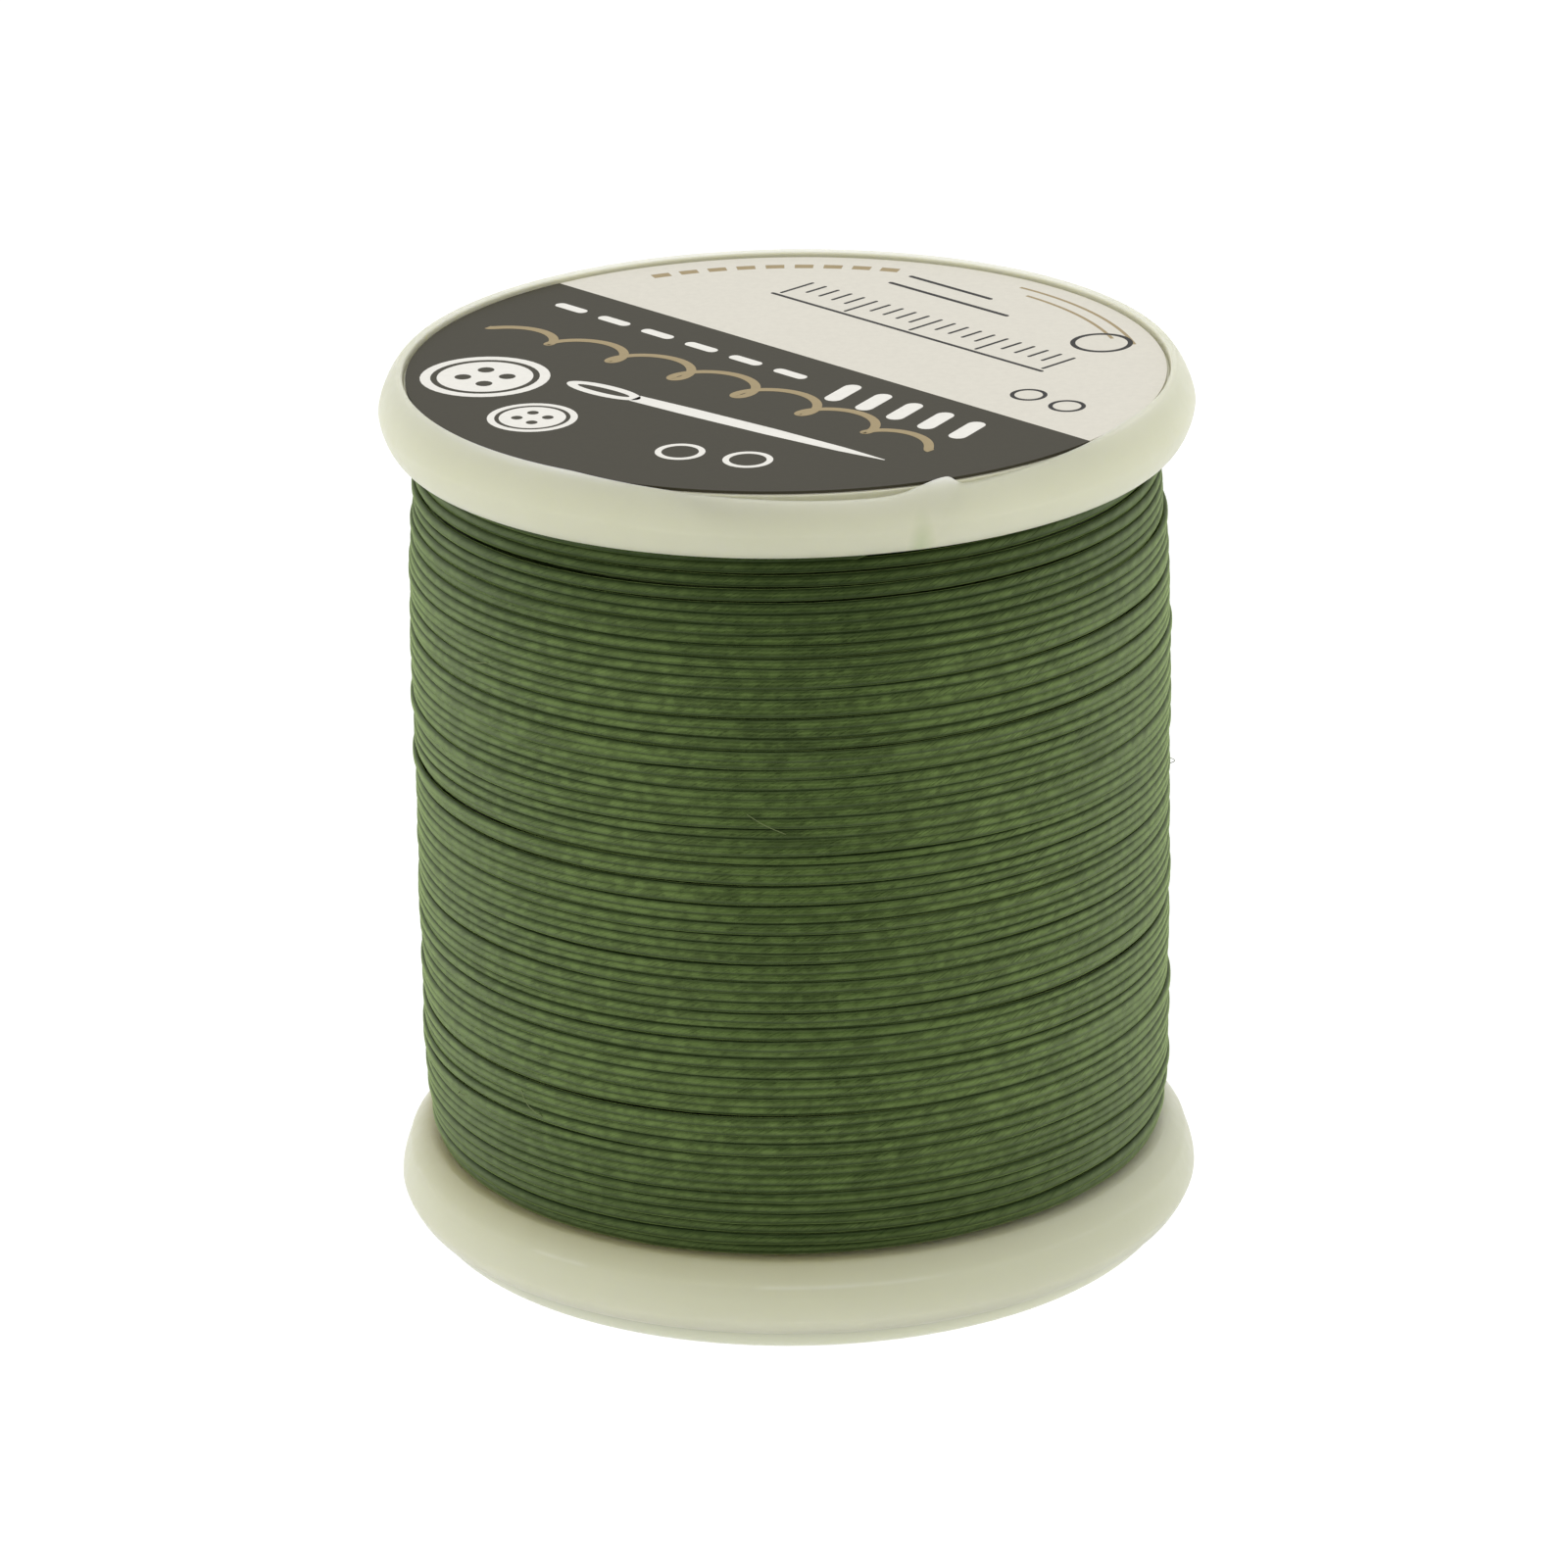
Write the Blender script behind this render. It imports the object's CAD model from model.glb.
"""Looks of the thread spool: moulded plastic body and caps, printed label and wound green thread.

Lengths are in millimetres until a mesh is made. Angles are in degrees round the spool's axis, from
the side that faces the camera (-Y), and grow to the right (+X). Colours are linear.
"""
import math

import bpy
import numpy as np
from mathutils import Matrix, Vector


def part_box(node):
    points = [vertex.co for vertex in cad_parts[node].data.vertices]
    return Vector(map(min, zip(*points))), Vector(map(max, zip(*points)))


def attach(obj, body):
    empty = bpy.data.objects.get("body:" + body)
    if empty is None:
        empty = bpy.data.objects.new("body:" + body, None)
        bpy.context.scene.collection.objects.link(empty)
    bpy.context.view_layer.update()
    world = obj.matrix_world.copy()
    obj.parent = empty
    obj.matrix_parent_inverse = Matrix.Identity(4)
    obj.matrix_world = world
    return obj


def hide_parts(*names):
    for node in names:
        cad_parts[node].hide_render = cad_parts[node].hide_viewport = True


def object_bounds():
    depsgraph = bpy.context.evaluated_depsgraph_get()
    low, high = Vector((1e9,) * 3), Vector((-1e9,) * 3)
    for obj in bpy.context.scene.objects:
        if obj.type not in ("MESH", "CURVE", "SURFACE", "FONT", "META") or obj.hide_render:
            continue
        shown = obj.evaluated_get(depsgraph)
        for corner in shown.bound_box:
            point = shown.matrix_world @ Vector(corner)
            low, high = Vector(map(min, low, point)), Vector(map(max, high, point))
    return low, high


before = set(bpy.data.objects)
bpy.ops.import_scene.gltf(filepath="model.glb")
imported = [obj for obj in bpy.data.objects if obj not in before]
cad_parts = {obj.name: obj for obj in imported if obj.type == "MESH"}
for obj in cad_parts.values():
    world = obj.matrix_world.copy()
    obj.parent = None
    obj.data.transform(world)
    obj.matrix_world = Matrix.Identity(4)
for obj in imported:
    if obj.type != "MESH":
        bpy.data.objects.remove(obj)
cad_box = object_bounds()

MM = 0.001

# ---- sizes ------------------------------------------------------------------------------------

# From the frame
SPOOL_H = cad_box[1].z / MM
FLANGE_R = cad_box[1].x / MM
LABEL_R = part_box("top_label")[1].x / MM
LABEL_Z0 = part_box("top_label")[0].z / MM
LABEL_Z1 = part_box("top_label")[1].z / MM
FLOOR_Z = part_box("thread_winding")[0].z / MM     # lower flange's face towards the thread
ROOF_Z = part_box("thread_winding")[1].z / MM      # upper flange's face towards the thread
CAP_Z1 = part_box("bottom_cap")[1].z / MM          # top of the lower cap's collar

# Walls and gaps, the same as the CAD part's
BORE_R = 3.5
HUB_R = 4.4
BARREL_R = 8.8
BARREL_WALL = 1.0
RIM_R = 10.05
WEB_T = 0.65
RIB_T = 0.8
RIB_COUNT = 6
RECESS_DEPTH = 0.25
UPPER_RECESS_R = 10.25
LOWER_RECESS_R = 9.95
CREST_W = 0.1
CAP_PLAY = 0.04          # between a snap cap and the walls it sits against
CAP_R = RIM_R - CAP_PLAY
CAP_HOLE_R = 4.0
CAP_PLATE_T = 0.7
COLLAR_WALL = 0.7
COLLAR_R0 = HUB_R + CAP_PLAY
COLLAR_R1 = COLLAR_R0 + COLLAR_WALL
WRAP_GAP = 0.02          # between the inner layers and the plastic

# From here on the sizes are the scene's own, though some are the same as the CAD part's
RIB_ROOT = 0.3           # how far a rib reaches into the walls at its ends

# Lower cap's visible edge and its seam
CAP_EDGE_T = 0.65
CAP_INSET = 0.13         # how far the edge stands back at the seam
CAP_FOOT = 0.02          # and how much wider its foot is than the flange's curve
SEAM_WIDE = 0.022
SEAM_TIGHT = 0.008
SEAM_FROM, SEAM_OVER = -20.0, 50.0               # where the seam starts to close, and over what arc
SEAM_REOPENS = 150.0

# Flange edges: where the widest part lies, and how wide and how sharp the roundings are
UPPER_PEAK = 1.0
LOWER_PEAK = 1.1
UPPER_INNER_ROUND = 0.4
LOWER_INNER_ROUND = 0.75
UPPER_R = FLANGE_R - 0.05                        # the upper flange is a little smaller
EDGE_POWER = 1.5
INNER_POWER = 1.35
RIDGE_DEPTH = 2.0        # height of the soft ridge on the lower flange's inner cone
RIDGE_T = 0.035
RIDGE_W = 0.13

# Thread catch in the upper rim
MOUTH_TOP = 25.6         # direction of the mouth at the crest
MOUTH_FOOT = 18.4        # and at the flange's face towards the thread
MOUTH_REACH = 35.0       # the columns lean with the mouth this far to both sides
MOUTH_GROOVE = 0.012
MOUTH_SPREAD = 1.0
FOOT_DEPTH, FOOT_FADE = 1.2, 0.6                 # below this depth the groove grows, over this depth
LIP_ROUND = 0.17
SLIT_ARC = 45.0
SLIT_OPENS = 10.0        # arc over which the slit reaches its depth
SLIT_W = 0.14
SLIT_MIN = 0.03          # least width of the slit, and least depth below the recess
SLIT_DEPTH = 0.9
LIP_MIN = 0.04           # least height of the lip over the slit's floor
DIP_MIDDLE = 13.0
DIP_HALF = 46.0
DIP_DEPTH = 0.35
DIP_POWER = 1.15
LUG_AT = 22.6
LUG_H = 0.32
LUG_RISE, LUG_FALL = 4.3, 2.7                    # half widths of the lug, to its left and right

# Thread
TURNS = 69.5
RINGS_PER_TURN = 168
TURN_SIDES = 8
THREAD_W = 0.335         # across a turn, along the axis
THREAD_T = 0.175         # across a turn, along the radius
PITCH = 0.28             # mean height between turns
PLIES = 2
PLY_LEN = 0.85           # length of one full twist of the plies
PACKAGE_R = 10.3
LOWER_DROP = 0.27        # the package narrows by this much towards the lower flange
LOWER_TAPER = 2.8
UPPER_DROP = 0.36        # and by this much towards the upper one
UPPER_TAPER = 5.5
CONTACT_R = 10.1         # where the thread meets the lower flange
BELOW_DEPTH = 0.4        # from the package's surface to the middle of the layer below
CORE_DEPTH = 0.52        # and to the layers further down

# Unevenness of the outer layer, as waves of (height, wavelength in turns, seed)
WANDER = ((0.032, 0.31, 3), (0.017, 0.11, 4))                      # up and down
LIFT = ((0.022, 0.43, 5), (0.012, 0.09, 6), (0.016, 0.9, 7))       # in and out
SWELL = ((0.05, 0.13, 8), (0.035, 0.03, 9))                        # thick and thin, as a share

# Where the turns lie further apart, in turns from the lower flange, and by how many millimetres
GAPS = (
    (1.7, 0.09), (3.4, 0.05), (9.3, 0.04), (58.2, 0.04), (62.3, 0.04),
    (64.4, 0.05), (65.6, 0.08), (66.5, 0.12), (67.6, 0.08),
)
GAP_OPENS = 0.4          # turns over which a gap opens

# The thread's end, where it rises into the mouth
END_TURNS = 0.03
END_RISE = 1.1
END_OUT = 0.25
END_THINNER = 0.25       # as a share

# Fibres that stand off the thread: direction and height of each
FIBRE_PLACES = (
    (-57, 18.0), (-63, 5.2), (-46, 6.3), (-7, 15.3),
    (84, 13.2), (120, 10.1), (171, 16.0), (-140, 8.2),
)
FIBRE_D = 0.022
FIBRE_POINTS = 14

# Label: heights of the bare paper and of the dark print, and the border between the two tones
PAPER_Z = LABEL_Z1 - 0.006
DARK_Z = LABEL_Z1 - 0.003
BUTTON_Z = LABEL_Z1 - 0.0015                     # a button's face, just below its rim and holes
CHORD_NORMAL = np.array((0.719, 0.695))          # across the printed rows, away from the dark part
CHORD_ALONG = np.array((0.695, -0.719))          # along them, to the right and to the front
CHORD_OFFSET = 1.11                              # from the axis to the border of the dark part
PRINT_WRAP = 0.015                               # the dark print also covers the paper's cut edge

# Camera
CAMERA_TARGET = (-0.2408, 0.0, 12.192)
CAMERA_ELEVATION = 20.95
CAMERA_DISTANCE = 209.16
CAMERA_ROLL = -0.9212
CAMERA_LENS = 175.69
CAMERA_SENSOR = 36

# Floor, and the card before the spool: it glows as the floor does at its edges and is dark inside
FLOOR_HALF = 1500
FLOOR_SHADE_R = LOWER_RECESS_R - 0.25            # no light comes from the floor inside this radius
CARD_X0, CARD_X1 = -31, 39
CARD_Y0, CARD_Y1 = -96, -24
CARD_LIFT = 0.05
CARD_MIDDLE_X = 4
CARD_DARK_X, CARD_WHITE_X = 20, 34               # dark up to, and white from, so far beside the middle
CARD_WHITE_Y, CARD_DARK_Y = -25, -34             # white and dark on the side of the spool
CARD_FAR_DARK_Y, CARD_FAR_WHITE_Y = -75, -95     # and on the side of the camera
WHITE_GLOW = 0.97
DARK_GLOW = 0.08

# Surroundings and lamp
WORLD_STRENGTH = 0.92
WORLD_WHITE = (1.0, 1.0, 1.0)
WORLD_DARK = (0.2, 0.2, 0.2)
WORLD_SEEN = (1.1, 1.1, 1.1)                     # behind the spool, as the camera sees it
DARK_SIDE = (0.075, -1.0, 0.0)
LAMP_PLACE = (0.0, -50, 450)
LAMP_TARGET = (0, 0, 10)
LAMP_SIZE = 400
LAMP_WATTS = 0.45

# Mesh steps
COLUMN_STEP = 1.25       # degrees between columns of the turned pieces
FILLET_STEPS = 3

# ---- colours ----------------------------------------------------------------------------------

PLASTIC_MEAN = (0.74, 0.735, 0.47)
PLASTIC_FLOW = ((0.72, 0.72, 0.475), (0.75, 0.75, 0.5))
PLASTIC_GREY = (0.55, 0.565, 0.42)
PLASTIC_CONTACT = (0.34, 0.3, 0.11)
PLASTIC_WORN = (0.9, 0.9, 0.74)
PLASTIC_SEAM = (0.92, 0.9, 0.62)
PLASTIC_DULL = (0.56, 0.57, 0.395)
PLASTIC_GAP = (0.65, 0.64, 0.49)
PLASTIC_OVER_THREAD = (0.25, 0.42, 0.12)

# Thread: its light and dark fibres, and the fibres in the groove between two turns
THREAD_TONES = ((0.05, 0.085, 0.0175), (0.015, 0.029, 0.0055), (0.013, 0.025, 0.008))
BELOW_TONES = ((0.03, 0.05, 0.012), (0.015, 0.025, 0.006), (0.008, 0.018, 0.007))
THREAD_SHEEN = (0.72, 1.0, 0.3)
THREAD_GLOSS = (0.75, 1.0, 0.36)
FIBRE_TONE = (0.16, 0.2, 0.07)

PAPER_TONE = (0.7, 0.67, 0.585)
DARK_TONE = (0.047, 0.042, 0.026)
WHITE_TONE = (0.82, 0.8, 0.74)
GOLD_TONE = (0.36, 0.28, 0.15)
BLACK_TONE = (0.025, 0.024, 0.022)
STAGE_TONE = (0.15, 0.15, 0.15)


# ---- small helpers ----------------------------------------------------------------------------

def smoothstep(x):
    """0 below 0, 1 above 1, smooth between."""
    x = np.clip(x, 0.0, 1.0)
    return x * x * (3 - 2 * x)


def drift(s, wavelength, seed):
    """Smooth random curve along s, about 1 high, that changes over the given wavelength."""
    x = np.asarray(s, float) / wavelength
    values = np.random.default_rng(seed).normal(size=int(x.max()) + 2)
    i = np.floor(x).astype(int)
    t = smoothstep(x - i)
    return values[i] * (1 - t) + values[i + 1] * t


def uneven(s, waves):
    """Sum of smooth random curves along s, from waves of (height, wavelength, seed)."""
    return sum(height * drift(s, wavelength, seed) for height, wavelength, seed in waves)


def turned_by(angle):
    """Matrix that turns rows of flat points by an angle in degrees, as points @ matrix."""
    c, s = math.cos(math.radians(angle)), math.sin(math.radians(angle))
    return np.array(((c, s), (-s, c)))


def outline(corners):
    """Points of a closed outline from corners (x, y, rounding); a rounding cuts the corner as an arc."""
    points = []
    count = len(corners)
    for i, (x, y, size) in enumerate(corners):
        corner = np.array((x, y))
        if size == 0:
            points.append(corner)
            continue
        ends = []
        for other in (corners[i - 1], corners[(i + 1) % count]):
            away = np.array(other[:2]) - corner
            length = np.linalg.norm(away)
            ends.append(corner + away / length * min(size, 0.45 * length))
        for t in np.linspace(0, 1, FILLET_STEPS + 1):
            points.append((1 - t) ** 2 * ends[0] + 2 * t * (1 - t) * corner + t * t * ends[1])
    return np.array(points)


def mesh_piece(name, points, faces, material, replaces=(), slot="spool_plastic", sharp=38):
    """A smooth mesh object on the spool, from points in millimetres and with its faces outwards.

    Edges between faces that meet at more than sharp degrees stay hard.
    """
    points = np.asarray(points, float)
    if signed_volume(points, faces) < 0:
        faces = [f[::-1] for f in faces]
    mesh = bpy.data.meshes.new(name)
    mesh.from_pydata((points * MM).tolist(), [], faces)
    mesh.shade_smooth()
    mesh.set_sharp_from_angle(angle=math.radians(sharp))
    mesh.materials.append(material)
    piece = bpy.data.objects.new(name, mesh)
    bpy.context.scene.collection.objects.link(piece)
    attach(piece, "root")
    if replaces:
        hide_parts(*replaces)
    return piece


def signed_volume(points, faces):
    """Six times the volume that the faces close, negative if they are turned inwards."""
    first = points[[f[0] for f in faces]]
    total = 0.0
    for corner in range(1, max(len(f) for f in faces) - 1):
        has = [i for i, f in enumerate(faces) if len(f) > corner + 1]
        b = points[[faces[i][corner] for i in has]]
        c = points[[faces[i][corner + 1] for i in has]]
        total += float(np.einsum("ij,ij->", first[has], np.cross(b, c)))
    return total


def ring_faces(rings, sides, closed=True):
    """Quads between neighbouring rings of points, and from the last ring to the first if closed."""
    steps = rings if closed else rings - 1
    return [(a * sides + k, (a + 1) % rings * sides + k,
             (a + 1) % rings * sides + (k + 1) % sides, a * sides + (k + 1) % sides)
            for a in range(steps) for k in range(sides)]


def to_xyz(angle, radius, z):
    """Points at directions in degrees from -Y."""
    a = np.radians(angle)
    return np.stack([radius * np.sin(a), -radius * np.cos(a), z + 0 * a], axis=-1)


def turned(outline_at, angles, lean=None):
    """Points and faces of a turned shape; its section may change with the direction."""
    rings = np.array([outline_at(a) for a in angles])
    column = np.repeat(np.asarray(angles, float)[:, None], rings.shape[1], axis=1)
    if lean:
        column = lean(column, rings[..., 1])
    points = to_xyz(column, rings[..., 0], rings[..., 1]).reshape(-1, 3)
    return points, ring_faces(len(angles), rings.shape[1])


def columns(fine=()):
    """Directions of a turned piece's columns; fine is a list of (middle, half width, step)."""
    found = set(np.round(np.arange(-180, 180, COLUMN_STEP), 3))
    for middle, half, step in fine:
        found = {a for a in found if abs(a - middle) > half}
        found |= set(np.round(np.arange(middle - half, middle + half + step / 2, step), 3))
    return sorted(found)


def joined(*parts):
    """One list of points and one of faces from several."""
    points, faces, start = [], [], 0
    for p, f in parts:
        points.append(np.asarray(p, float))
        faces += [tuple(i + start for i in face) for face in f]
        start += len(p)
    return np.concatenate(points), faces


# ---- shader nodes -----------------------------------------------------------------------------

def new_material(name, colour, roughness, **sockets):
    """A Principled material; sockets are its other inputs by name, with _ for a space."""
    material = bpy.data.materials.new(name)
    material.use_nodes = True
    shader = material.node_tree.nodes["Principled BSDF"]
    shader.inputs["Base Color"].default_value = (*colour, 1)
    shader.inputs["Roughness"].default_value = roughness
    for key, value in sockets.items():
        shader.inputs[key.replace("_", " ")].default_value = value
    return material, material.node_tree, shader


def add(tree, kind, inputs=(), **settings):
    """A node with its settings, and its inputs by name or number: values or other nodes' outputs."""
    node = tree.nodes.new("ShaderNode" + kind)
    for key, value in settings.items():
        setattr(node, key, value)
    for key, value in dict(inputs).items():
        if isinstance(value, bpy.types.NodeSocket):
            tree.links.new(value, node.inputs[key])
        else:
            node.inputs[key].default_value = value
    return node


def maths(tree, operation, *values):
    """The output of a Math node."""
    return add(tree, "Math", dict(enumerate(values)), operation=operation).outputs[0]


def times(tree, first, *others):
    """The product of values."""
    for other in others:
        first = maths(tree, "MULTIPLY", first, other)
    return first


def plus(tree, first, *others):
    """The sum of values."""
    for other in others:
        first = maths(tree, "ADD", first, other)
    return first


def minus(tree, first, second):
    """The difference of two values."""
    return maths(tree, "SUBTRACT", first, second)


def map_range(tree, value, low, high, to_low, to_high):
    """A value carried from one range to another, and kept inside it."""
    return add(tree, "MapRange", {0: value, 1: low, 2: high, 3: to_low, 4: to_high}).outputs[0]


def vector(tree, *parts):
    """A vector from up to three values."""
    return add(tree, "CombineXYZ", dict(enumerate(parts))).outputs[0]


def parts_of(tree, place):
    """The three values of a vector."""
    return tuple(add(tree, "SeparateXYZ", {0: place}).outputs)


def length_of(tree, place):
    """The length of a vector."""
    return add(tree, "VectorMath", {0: place}, operation="LENGTH").outputs["Value"]


def noise(tree, scale, place, detail=3):
    """A noise value from 0 to 1; scale is in features per unit of place."""
    return add(tree, "TexNoise", {"Vector": place, "Scale": scale, "Detail": detail,
                                  "Roughness": 0.55}).outputs["Fac"]


def mix_colours(tree, share, first, second):
    """A colour between two; a colour is a tuple or another node's output."""
    node = add(tree, "Mix", {0: share}, data_type="RGBA")
    for key, value in ((6, first), (7, second)):
        if isinstance(value, tuple):
            node.inputs[key].default_value = (*value, 1)
        else:
            tree.links.new(value, node.inputs[key])
    return node.outputs[2]


def bump(tree, shader, height, depth_mm, strength):
    """Raises the surface by height times depth_mm."""
    node = add(tree, "Bump", {"Height": height, "Distance": depth_mm * MM, "Strength": strength})
    tree.links.new(node.outputs[0], shader.inputs["Normal"])


# ---- plastic ----------------------------------------------------------------------------------

def flow_marks(tree, place):
    """Clean plastic with faint flow marks."""
    flow = noise(tree, 260, place, detail=2)
    return mix_colours(tree, map_range(tree, flow, 0.35, 0.65, 0, 1), *PLASTIC_FLOW)


def beside_thread(tree, radius, height):
    """1 where the thread meets the lower flange, fading to 0 over 1.2 mm."""
    corner = vector(tree, minus(tree, radius, CONTACT_R * MM), minus(tree, height, FLOOR_Z * MM))
    near = map_range(tree, length_of(tree, corner), 0, 1.2 * MM, 1, 0)
    return maths(tree, "POWER", near, 1.4)


def worn_ridge(tree, place, height):
    """The soft ridge on the lower flange is worn light in places."""
    off_ridge = maths(tree, "ABSOLUTE", minus(tree, height, RIDGE_DEPTH * MM))
    return times(tree, map_range(tree, off_ridge, 0, 0.07 * MM, 1, 0),
                 map_range(tree, noise(tree, 330, place, detail=2), 0.5, 0.62, 0, 0.45))


def over_seam(tree, height):
    """A light band just above the seam of the lower cap."""
    return map_range(tree, height, (CAP_EDGE_T + SEAM_WIDE) * MM, (CAP_EDGE_T + 0.3) * MM, 0.5, 0)


def dull_places(tree, x, height):
    """The lower flange grows duller to the right, and both flanges are duller at their sides."""
    lower = times(tree, map_range(tree, x, 0, 9 * MM, 0.32, 0.95),
                  map_range(tree, height, 3 * MM, 6 * MM, 1, 0))
    sides = map_range(tree, maths(tree, "ABSOLUTE", x), 6 * MM, 11 * MM, 0, 0.4)
    return maths(tree, "MAXIMUM", lower, sides)


def label_gap(tree, radius, height):
    """1 in the narrow gap between the label and the upper rim, where light gathers."""
    gap_r = (UPPER_RECESS_R + 0.03) * MM
    return times(tree, map_range(tree, radius, gap_r, gap_r + 0.06 * MM, 1, 0),
                 map_range(tree, height, (SPOOL_H - 1.6) * MM, (SPOOL_H - 1.3) * MM, 0, 1))


def over_thread_end(tree, place):
    """The thread's end shows faintly through the rim below the mouth."""
    end = to_xyz(MOUTH_FOOT, FLANGE_R - 0.3, ROOF_Z + 0.1) * MM
    off = add(tree, "VectorMath", {0: place, 1: tuple(end)}, operation="SUBTRACT").outputs[0]
    half_sizes = (0.4, 0.625, 1.25)
    per_metre = tuple(1 / (half * MM) for half in half_sizes)
    scaled = add(tree, "VectorMath", {0: off, 1: per_metre}, operation="MULTIPLY").outputs[0]
    return map_range(tree, length_of(tree, scaled), 0, 1, 0.45, 0)


def plastic_material(name, depth_mm, grey_share):
    """Milky moulded plastic that light goes into; grey_share is 1 for the lower cap's greyer tone."""
    material, tree, shader = new_material(
        name, PLASTIC_MEAN, 0.38, IOR=1.49, Subsurface_Weight=1.0, Subsurface_Scale=depth_mm * MM,
        Subsurface_Radius=(0.9, 0.9, 1.05))
    place = add(tree, "TexCoord").outputs["Object"]
    x, y, height = parts_of(tree, place)
    radius = length_of(tree, vector(tree, x, y))
    in_gap = label_gap(tree, radius, height)
    shades = (
        (grey_share, PLASTIC_GREY),
        (beside_thread(tree, radius, height), PLASTIC_CONTACT),
        (worn_ridge(tree, place, height), PLASTIC_WORN),
        (times(tree, over_seam(tree, height), 1.0 - grey_share), PLASTIC_SEAM),
        (dull_places(tree, x, height), PLASTIC_DULL),
        (in_gap, PLASTIC_GAP),
        (over_thread_end(tree, place), PLASTIC_OVER_THREAD),
    )
    colour = flow_marks(tree, place)
    for share, shade in shades:
        colour = mix_colours(tree, share, colour, shade)
    tree.links.new(colour, shader.inputs["Base Color"])
    # light that goes in deep would leave the gap's thin walls dark
    depth = map_range(tree, in_gap, 0, 1, depth_mm * MM, 0.2 * MM)
    tree.links.new(depth, shader.inputs["Subsurface Scale"])
    grain = noise(tree, 2600, place, detail=4)
    tree.links.new(map_range(tree, grain, 0.3, 0.7, 0.33, 0.45), shader.inputs["Roughness"])
    bump(tree, shader, grain, 0.006, 0.6)
    return material


# ---- thread and print materials ---------------------------------------------------------------

def ply_relief(tree, along, around, place):
    """Height of the twisted plies, from 0 to 1, with a wobble in their twist."""
    twist = plus(tree, times(tree, along, 2 * math.pi / PLY_LEN), times(tree, around, 2 * math.pi * PLIES))
    wobble = times(tree, noise(tree, 900, place, detail=1), 5.0)
    return map_range(tree, maths(tree, "SINE", plus(tree, twist, wobble)), -1, 1, 0, 1)


def fibre_streaks(tree, along, around):
    """Noise in streaks that lie along the fibres."""
    across = times(tree, plus(tree, around, times(tree, along, 0.5)), 9.0)
    return noise(tree, 2.2, vector(tree, times(tree, along, 0.7), across), detail=3)


def change_along(tree, along, per_mm):
    """Noise that changes only along the thread."""
    return noise(tree, 1.0, vector(tree, times(tree, along, per_mm)))


def light_share(tree, along, place, plies, fibres, flecks, from_end):
    """How light the fibres are: slubs, flecks, streaks and whole rows differ, and the ends are dark."""
    slubs = plus(tree, change_along(tree, along, 0.45), change_along(tree, along, 2.4),
                 noise(tree, 420, place, detail=2))
    share = plus(
        tree,
        times(tree, plies, 0.12),
        times(tree, map_range(tree, slubs, 1.2, 1.8, 0, 1), 0.6),
        map_range(tree, flecks, 0.44, 0.68, 0, 1),
        map_range(tree, fibres, 0.35, 0.65, -0.25, 0.25),
        map_range(tree, change_along(tree, along, 0.04), 0.35, 0.65, -0.3, 0.3))
    return times(tree, share, map_range(tree, from_end, 0, 4.5 * MM, 0.1, 1))


def open_side(tree, around):
    """1 on the side of a turn that faces out; the other fibres lie in the groove between two turns."""
    facing = maths(tree, "COSINE", times(tree, plus(tree, around, 0.09), 2 * math.pi))
    return maths(tree, "POWER", map_range(tree, facing, 0.6, 1, 0, 1), 2.0)


def thread_material(name, light, dark, groove):
    """Twisted thread with a soft lustre; its UV map holds the length in mm and the turn round it."""
    material, tree, shader = new_material(
        name, light, 0.5, IOR=1.56, Specular_Tint=(*THREAD_GLOSS, 1),
        Sheen_Weight=0.45, Sheen_Roughness=0.4, Sheen_Tint=(*THREAD_SHEEN, 1))
    along, around, _ = parts_of(tree, add(tree, "UVMap", uv_map="thread").outputs[0])
    place = add(tree, "TexCoord").outputs["Object"]
    height = parts_of(tree, place)[2]
    from_end = maths(tree, "MINIMUM", minus(tree, height, FLOOR_Z * MM), minus(tree, ROOF_Z * MM, height))
    plies = ply_relief(tree, along, around, place)
    fibres = fibre_streaks(tree, along, around)
    flecks = noise(tree, 2300, place, detail=2)
    outside = open_side(tree, around)

    share = light_share(tree, along, place, plies, fibres, flecks, from_end)
    colour = mix_colours(tree, outside, groove, mix_colours(tree, share, dark, light))
    tree.links.new(colour, shader.inputs["Base Color"])

    gleam = plus(tree, map_range(tree, fibres, 0.35, 0.65, 0.75, 1.15),
                 map_range(tree, flecks, 0.4, 0.65, -0.1, 0.2))
    lustre = times(tree, map_range(tree, outside, 0, 1, 0.35, 1),
                   map_range(tree, from_end, 0, 3.5 * MM, 0.5, 1), gleam)
    tree.links.new(lustre, shader.inputs["Specular IOR Level"])

    grazing = map_range(tree, add(tree, "LayerWeight").outputs["Facing"], 0.3, 0.75, 0, 0.3)
    roughness = plus(tree, map_range(tree, fibres, 0.3, 0.7, 0.24, 0.36), grazing)
    tree.links.new(roughness, shader.inputs["Roughness"])
    bump(tree, shader, plus(tree, times(tree, plies, 0.4), times(tree, fibres, 0.25)), 0.02, 0.5)
    return material


def print_material(name, colour):
    """Printed or bare label paper under a thin satin varnish."""
    material, tree, shader = new_material(name, colour, 0.5, Specular_IOR_Level=0.13)
    tooth = noise(tree, 5200, add(tree, "TexCoord").outputs["Object"], detail=3)
    darker = tuple(0.93 * c for c in colour)
    lighter = tuple(1.05 * c for c in colour)
    tree.links.new(mix_colours(tree, tooth, darker, lighter), shader.inputs["Base Color"])
    bump(tree, shader, tooth, 0.002, 0.5)
    return material


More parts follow.
